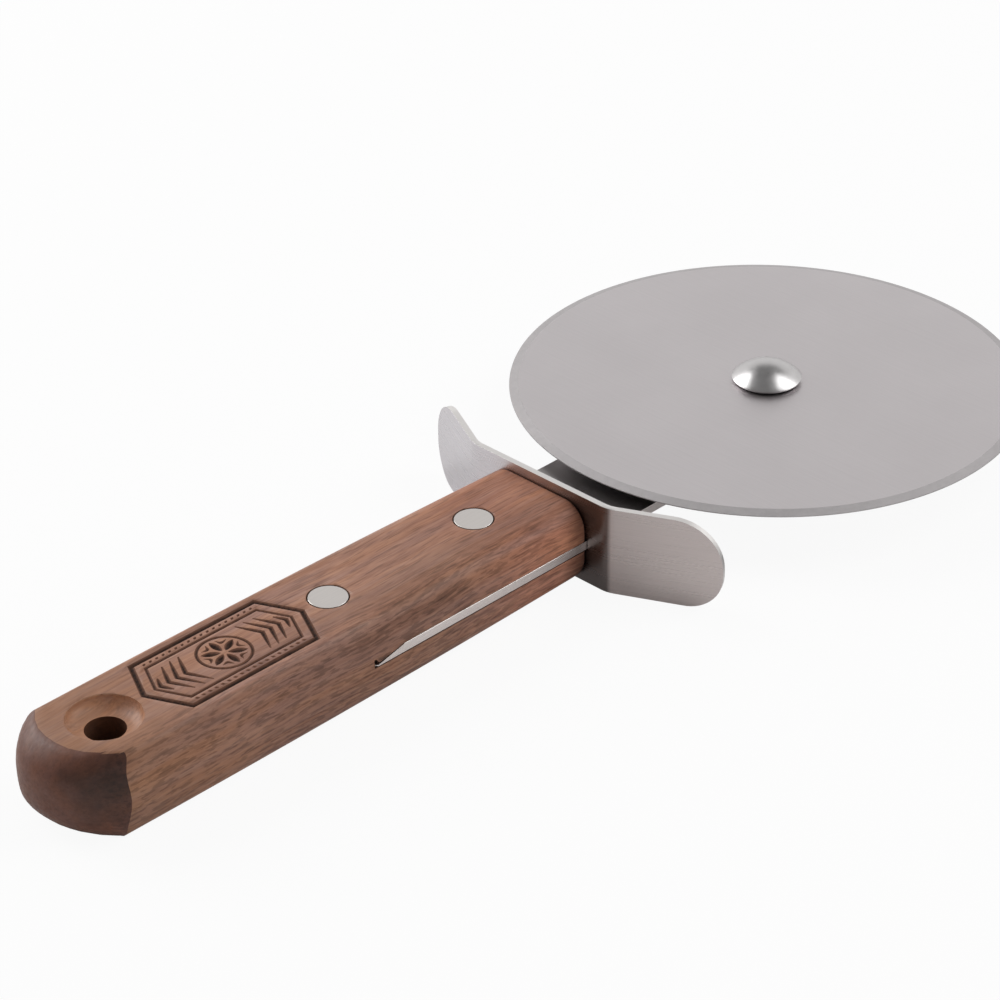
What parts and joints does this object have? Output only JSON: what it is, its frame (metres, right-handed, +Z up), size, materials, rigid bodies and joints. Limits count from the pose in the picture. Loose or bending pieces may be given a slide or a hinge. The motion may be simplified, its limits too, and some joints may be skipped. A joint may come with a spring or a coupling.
{
  "type": "pizza cutter",
  "caption": "Rolling pizza cutter: a flat bevelled steel wheel on a riveted axle, a flat bar, a bent finger guard and a slotted wooden handle with a hanging hole.",
  "frame": {"origin": "on the table, below the point half way along the cutter, just behind the guard", "axes": "+X along the cutter from the handle to the wheel, +Y across it, +Z up along the wheel's axle"},
  "size_m": [0.2284, 0.1, 0.0176],
  "materials": {
    "walnut": "oiled satin",
    "satin_steel": "satin",
    "rivet_steel": "ground flush",
    "polished_steel": "polished"
  },
  "bodies": {
    "handle": {"handle_block": "walnut", "carrier_bar": "satin_steel", "finger_guard": "satin_steel", "front_rivet_socket": "rivet_steel", "front_rivet_pin": "rivet_steel", "rear_rivet_socket": "rivet_steel", "rear_rivet_pin": "rivet_steel", "axle_rivet": "polished_steel", "spacer_washer": "satin_steel", "burr_washer": "satin_steel"},
    "wheel": {"cutting_wheel": "satin_steel"}
  },
  "joints": [
    {"name": "wheel_spin", "type": "hinge", "parent": "handle", "child": "wheel", "pos_m": [0.0642, 0, 0.01133], "axis": [0, 0, 1], "continuous": true}
  ]
}
